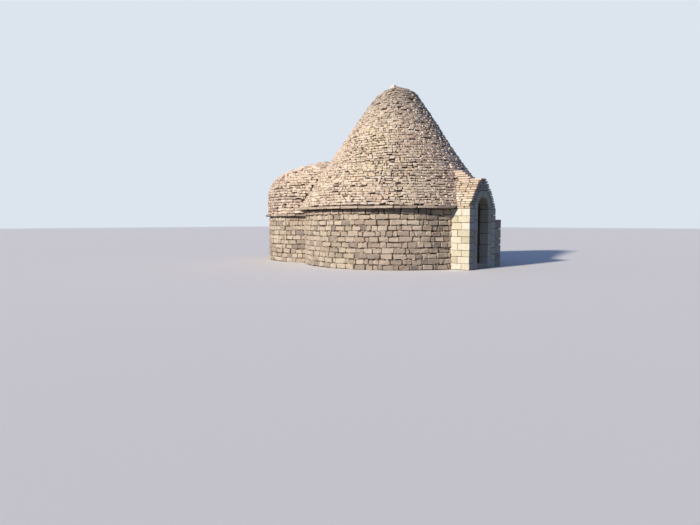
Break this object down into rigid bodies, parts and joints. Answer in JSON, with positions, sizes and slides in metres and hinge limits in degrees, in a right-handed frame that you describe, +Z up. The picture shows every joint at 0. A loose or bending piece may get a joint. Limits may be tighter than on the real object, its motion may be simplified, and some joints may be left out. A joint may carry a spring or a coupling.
{
  "type": "trullo house",
  "caption": "Round dry-stone house with a stepped conical stone roof over a corbelled vault, a gabled entrance porch with an arched door, and a domed alcove behind.",
  "frame": {"origin": "on the ground under the apex of the main cone, in the middle of the room floor's underside", "axes": "+Z up, the entrance faces -Y, +X to the right of someone who looks at the entrance"},
  "size_m": [6.9399, 9.25, 6.24],
  "materials": {
    "wall_stone": "rough dry-laid limestone",
    "roof_stone": "split limestone slabs, weathered, with lichen",
    "vault_stone": "corbelled limestone",
    "floor_stone": "worn limestone slabs",
    "old_oak": "weathered boards",
    "wrought_iron": "rusted wrought iron"
  },
  "bodies": {
    "house": {"floor_room": "floor_stone", "floor_alcove": "floor_stone", "threshold": "floor_stone", "wall_front_left": "wall_stone", "wall_back_left": "wall_stone", "wall_back_right": "wall_stone", "wall_front_right": "wall_stone", "eaves_ring": "wall_stone", "cone_front_left": "roof_stone", "cone_front_right": "roof_stone", "cone_back_left": "roof_stone", "cone_back_right": "roof_stone", "cone_middle": "roof_stone", "cone_upper": "roof_stone", "summit_slabs": "roof_stone", "cap_stone": "wall_stone", "vault_lower": "vault_stone", "vault_middle": "vault_stone", "vault_upper": "vault_stone", "vault_closing_slab": "vault_stone", "porch_pier_left": "wall_stone", "porch_pier_right": "wall_stone", "door_jamb_stones": "wall_stone", "door_arch": "wall_stone", "passage_vault": "vault_stone", "porch_gable": "wall_stone", "porch_roof_left": "roof_stone", "porch_roof_right": "roof_stone", "porch_ridge": "roof_stone", "corner_buttress": "wall_stone", "alcove_wall_left": "wall_stone", "alcove_wall_back": "wall_stone", "alcove_wall_right": "wall_stone", "alcove_eaves": "wall_stone", "alcove_dome": "roof_stone", "alcove_vault_left": "vault_stone", "alcove_vault_right": "vault_stone", "alcove_archway": "vault_stone", "door_frame": "old_oak", "door_tympanum": "old_oak", "hinge_pintles": "wrought_iron"},
    "door": {"door_leaf": "old_oak", "door_ledges": "old_oak", "hinge_straps": "wrought_iron", "pull_ring": "wrought_iron"}
  },
  "joints": [
    {"name": "door_swing", "type": "hinge", "parent": "house", "child": "door", "pos_m": [-0.7125, -3.172, 1], "axis": [0, 0, 1], "range_deg": [0, 90]}
  ]
}
